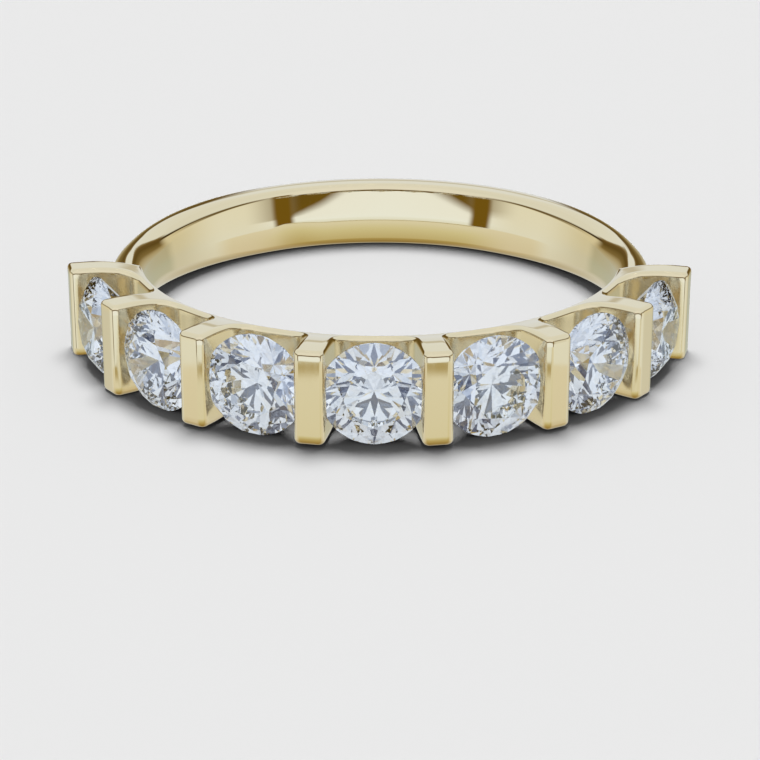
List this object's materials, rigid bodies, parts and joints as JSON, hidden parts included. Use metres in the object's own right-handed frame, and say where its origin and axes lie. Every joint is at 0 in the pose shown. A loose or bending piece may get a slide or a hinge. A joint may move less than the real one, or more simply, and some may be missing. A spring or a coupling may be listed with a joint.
{
  "type": "half eternity wedding band",
  "caption": "Yellow gold half eternity ring: round brilliant-cut stones side by side between upright bars across the front of a plain half-round shank.",
  "frame": {"origin": "centre of the finger hole, halfway along the finger", "axes": "+Z along the finger's axis, and -Y through the middle stone"},
  "size_m": [0.0216, 0.021, 0.0034],
  "materials": {
    "gold": "polished pale yellow gold",
    "stone": "clear and colourless, cut with flat polished facets"
  },
  "bodies": {
    "root": {"band": "gold", "stone_1": "stone", "stone_2": "stone", "stone_3": "stone", "stone_4": "stone", "stone_5": "stone", "stone_6": "stone", "stone_7": "stone"}
  },
  "joints": []
}
